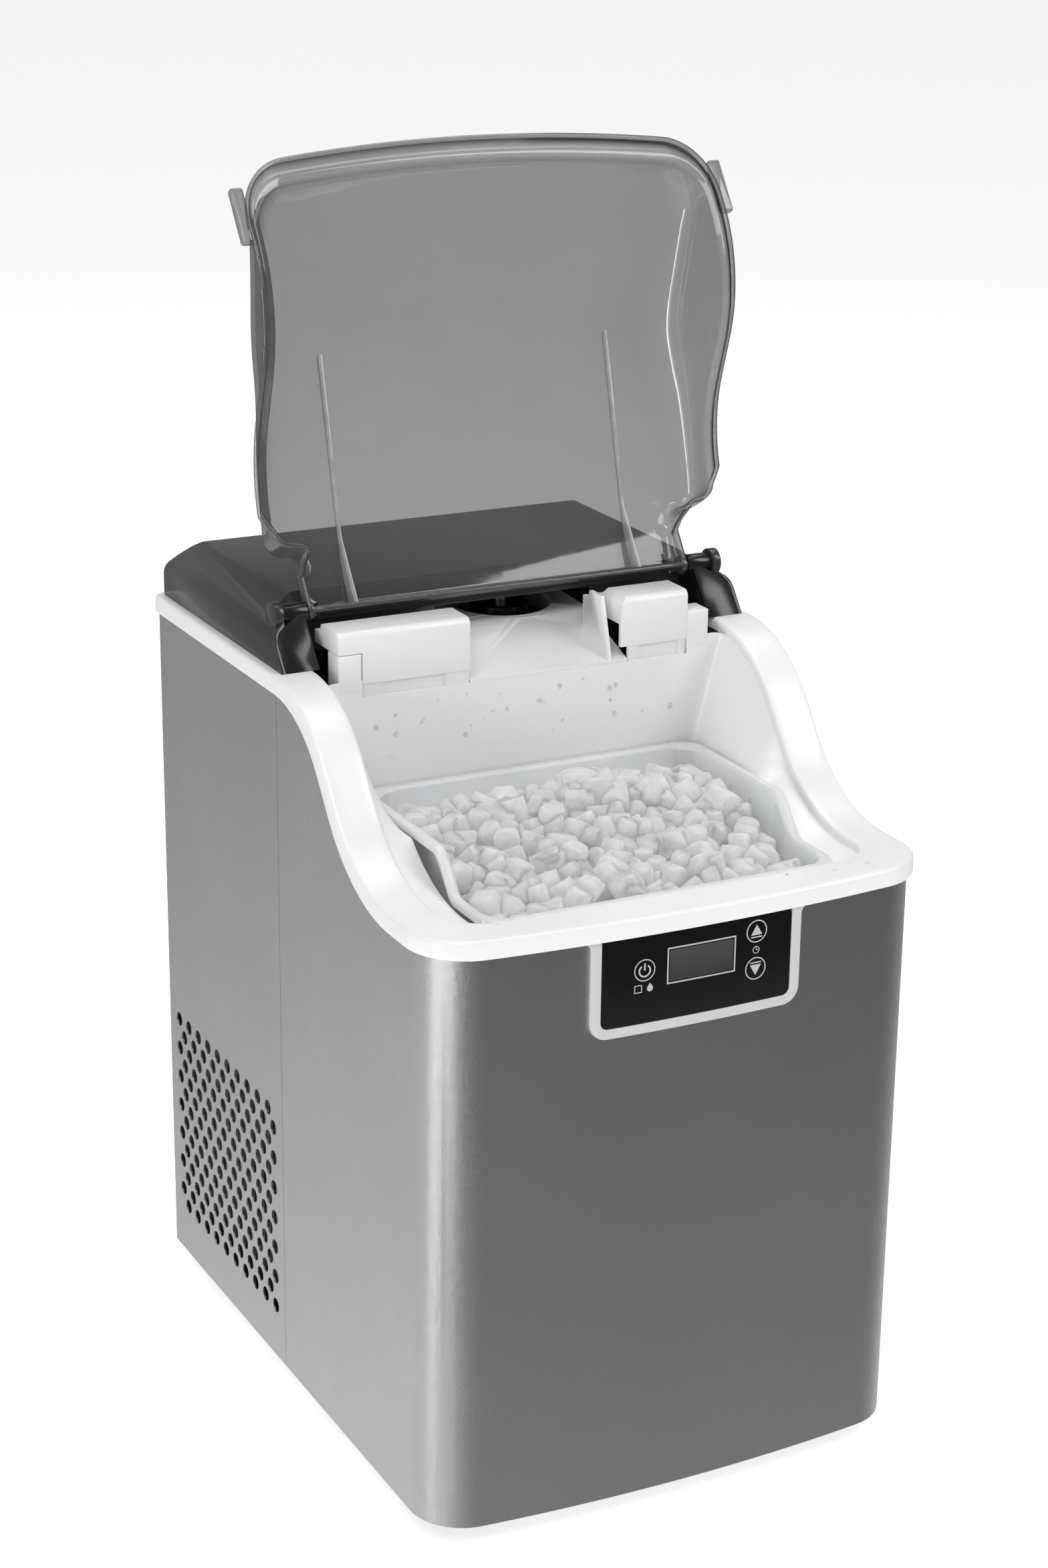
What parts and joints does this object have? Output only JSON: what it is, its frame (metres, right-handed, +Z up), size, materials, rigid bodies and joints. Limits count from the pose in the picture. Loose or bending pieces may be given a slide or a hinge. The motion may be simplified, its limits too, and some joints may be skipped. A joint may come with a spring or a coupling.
{
  "type": "ice maker",
  "caption": "Countertop nugget ice maker: an auger freezes and presses soft ice nuggets into a lift-out basket under a hinged smoked lid.",
  "frame": {"origin": "on the surface the feet stand on, in the middle of the footprint", "axes": "+Z up, the front with the control panel faces -Y, +X to the viewer's right"},
  "size_m": [0.276, 0.362, 0.6539],
  "materials": {
    "basket_plastic": "translucent white",
    "black_gloss": "glossy printed film",
    "black_plastic": "black, satin gloss",
    "brushed_steel": "fine horizontal grain",
    "cast_alloy": "die cast",
    "circuit_board": "solder mask",
    "copper": "drawn copper",
    "display": "unlit liquid-crystal window",
    "fin_aluminium": "plain sheet fins",
    "float_foam": "foamed plastic",
    "foam": "closed-cell insulation foam",
    "foam_rubber": "closed-cell foam rubber",
    "galvanised_steel": "zinc plated, satin",
    "grey_plastic": "fine moulded texture",
    "hose": "soft silicone tube",
    "ice": "wet, translucent nuggets",
    "light_grey_plastic": "smooth, soft gloss",
    "natural_plastic": "natural polypropylene",
    "nylon": "natural nylon",
    "painted_black": "gloss paint",
    "painted_grey": "satin paint",
    "print": "light grey screen print",
    "rubber": "matt",
    "smoke_grey_plastic": "dark grey, glossy",
    "smoked_plastic": "clear smoked grey, polished",
    "stainless": "turned",
    "white_plastic": "smooth, soft gloss"
  },
  "bodies": {
    "cabinet": {"base_pan": "galvanised_steel", "foot_front_left": "rubber", "foot_front_right": "rubber", "foot_rear_left": "rubber", "foot_rear_right": "rubber", "front_panel": "brushed_steel", "side_panel_left": "brushed_steel", "side_panel_right": "brushed_steel", "rear_panel": "grey_plastic", "top_frame": "white_plastic", "bin_insulation": "foam", "rear_cover": "smoke_grey_plastic", "hinge_post_left": "black_plastic", "hinge_post_right": "black_plastic", "panel_bezel": "light_grey_plastic", "control_overlay": "black_gloss", "display_window": "display", "panel_icons": "print", "control_board": "circuit_board", "switch_bodies": "black_plastic", "ice_chute": "white_plastic", "chute_cover_left": "white_plastic", "chute_cover_right": "white_plastic", "bin_full_sensors": "black_gloss", "evaporator_barrel": "stainless", "evaporator_jacket": "foam_rubber", "extruder_head": "black_plastic", "gearbox_housing": "cast_alloy", "auger_motor": "painted_grey", "compressor": "painted_black", "compressor_grommets": "rubber", "filter_drier": "copper", "condenser": "fin_aluminium", "fan_shroud": "grey_plastic", "fan_motor": "painted_black", "refrigerant_lines": "copper", "water_reservoir": "natural_plastic", "water_pump": "black_plastic", "float_stem": "white_plastic", "water_hoses": "hose", "drain_spout": "natural_plastic", "power_inlet": "black_plastic", "power_board": "circuit_board", "rear_screws": "stainless", "foot_nuts": "rubber"},
    "basket": {"ice_basket": "basket_plastic", "nugget_ice": "ice"},
    "lid": {"lid": "smoked_plastic", "lid_pins": "stainless"},
    "auger": {"auger": "stainless", "auger_gear": "nylon"},
    "pinion": {"motor_pinion": "stainless"},
    "fan": {"fan_blade": "grey_plastic"},
    "float": {"level_float": "float_foam"},
    "cap": {"drain_cap": "rubber"},
    "power_stem": {"power_switch_stem": "white_plastic"},
    "up_stem": {"up_switch_stem": "white_plastic"},
    "down_stem": {"down_switch_stem": "white_plastic"}
  },
  "joints": [
    {"name": "lid_hinge", "type": "hinge", "parent": "cabinet", "child": "lid", "pos_m": [0, 0.0335, 0.426], "axis": [-1, 0, 0], "range_deg": [-125, 0]},
    {"name": "basket_lift", "type": "slide", "parent": "cabinet", "child": "basket", "axis": [0, 0, 1], "range_m": [0, 0.2]},
    {"name": "auger_spin", "type": "hinge", "parent": "cabinet", "child": "auger", "pos_m": [0.02, 0.075, 0.2], "axis": [0, 0, 1], "continuous": true},
    {"name": "pinion_spin", "type": "hinge", "parent": "cabinet", "child": "pinion", "pos_m": [-0.034, 0.075, 0.2], "axis": [0, 0, 1], "continuous": true},
    {"name": "fan_spin", "type": "hinge", "parent": "cabinet", "child": "fan", "pos_m": [-0.08, 0.096, 0.096], "axis": [1, 0, 0], "continuous": true},
    {"name": "float_rise", "type": "slide", "parent": "cabinet", "child": "float", "axis": [0, 0, 1], "range_m": [0, 0.06]},
    {"name": "drain_cap_pull", "type": "slide", "parent": "cabinet", "child": "cap", "axis": [0, 1, 0], "range_m": [0, 0.02]},
    {"name": "power_key_press", "type": "slide", "parent": "cabinet", "child": "power_stem", "axis": [0, 1, 0], "range_m": [0, 0.00025], "stiffness_N_per_m": 400, "springref_m": -0.001},
    {"name": "up_key_press", "type": "slide", "parent": "cabinet", "child": "up_stem", "axis": [0, 1, 0], "range_m": [0, 0.00025], "stiffness_N_per_m": 400, "springref_m": -0.001},
    {"name": "down_key_press", "type": "slide", "parent": "cabinet", "child": "down_stem", "axis": [0, 1, 0], "range_m": [0, 0.00025], "stiffness_N_per_m": 400, "springref_m": -0.001}
  ],
  "couplings": [
    {"joint": "pinion_spin", "follows": "auger_spin", "ratio": -5}
  ]
}
